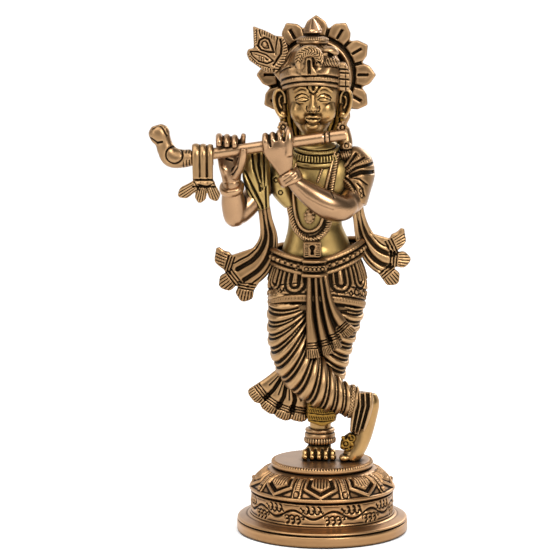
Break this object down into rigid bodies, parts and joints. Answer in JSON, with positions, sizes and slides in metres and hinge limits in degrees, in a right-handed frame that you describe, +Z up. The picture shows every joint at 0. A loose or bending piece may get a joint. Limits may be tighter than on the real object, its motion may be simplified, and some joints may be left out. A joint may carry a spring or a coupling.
{
  "type": "standing flute-player deity statue",
  "caption": "Cast brass statue of a crowned flute player standing cross-legged in a draped dhoti on a round lotus pedestal, with a rayed halo behind the head.",
  "frame": {"origin": "centre of the pedestal's flat underside", "axes": "+Z up to the crown, -Y the way the figure faces, +X to the right of a viewer in front"},
  "size_m": [0.1139, 0.076, 0.228],
  "materials": {
    "brass_skin": "hand polished, soft gloss, dark in the creases",
    "brass_cloth": "chased folds, rubbed bright on the ridges, black patina in the grooves",
    "brass_ornament": "chased and punched, bright edges over a dark patina",
    "brass_pedestal": "turned and engraved, satin with fine scratches and dark grooves"
  },
  "bodies": {
    "root": {"foot_plate": "brass_pedestal", "pedestal_drum": "brass_pedestal", "lotus_tier": "brass_pedestal", "standing_disc": "brass_pedestal", "left_foot": "brass_skin", "right_foot": "brass_skin", "left_anklet": "brass_ornament", "right_anklet": "brass_ornament", "left_leg_dhoti": "brass_cloth", "right_leg_dhoti": "brass_cloth", "right_cuff": "brass_ornament", "right_hem_folds": "brass_cloth", "dhoti_hem": "brass_cloth", "dhoti_tail": "brass_cloth", "hips": "brass_cloth", "waist_belt": "brass_ornament", "belt_buckle": "brass_ornament", "belt_clasp": "brass_ornament", "front_sash": "brass_cloth", "right_hip_panel": "brass_ornament", "left_hip_panel": "brass_ornament", "torso": "brass_skin", "neck": "brass_skin", "collar": "brass_ornament", "garland": "brass_ornament", "chest_pendant": "brass_ornament", "left_forearm": "brass_skin", "right_forearm": "brass_skin", "left_upper_arm": "brass_skin", "right_upper_arm": "brass_skin", "left_hand": "brass_skin", "right_hand": "brass_skin", "left_bangle": "brass_ornament", "right_bangle": "brass_ornament", "left_sleeve": "brass_cloth", "right_shawl": "brass_cloth", "right_scarf": "brass_cloth", "left_scarf": "brass_cloth", "flute": "brass_skin", "flute_head": "brass_skin", "flute_cloth": "brass_cloth", "head": "brass_skin", "right_ear": "brass_skin", "right_earring": "brass_ornament", "left_ear": "brass_skin", "left_earring": "brass_ornament", "hair": "brass_cloth", "left_hair_lock": "brass_cloth", "crown_band": "brass_ornament", "crown_cap": "brass_ornament", "crown_disc": "brass_ornament", "crown_finial": "brass_ornament", "crown_crest": "brass_ornament", "crown_bud": "brass_ornament", "crown_side_panel": "brass_ornament", "peacock_feather": "brass_ornament", "halo": "brass_ornament", "halo_pin": "brass_ornament"}
  },
  "joints": []
}
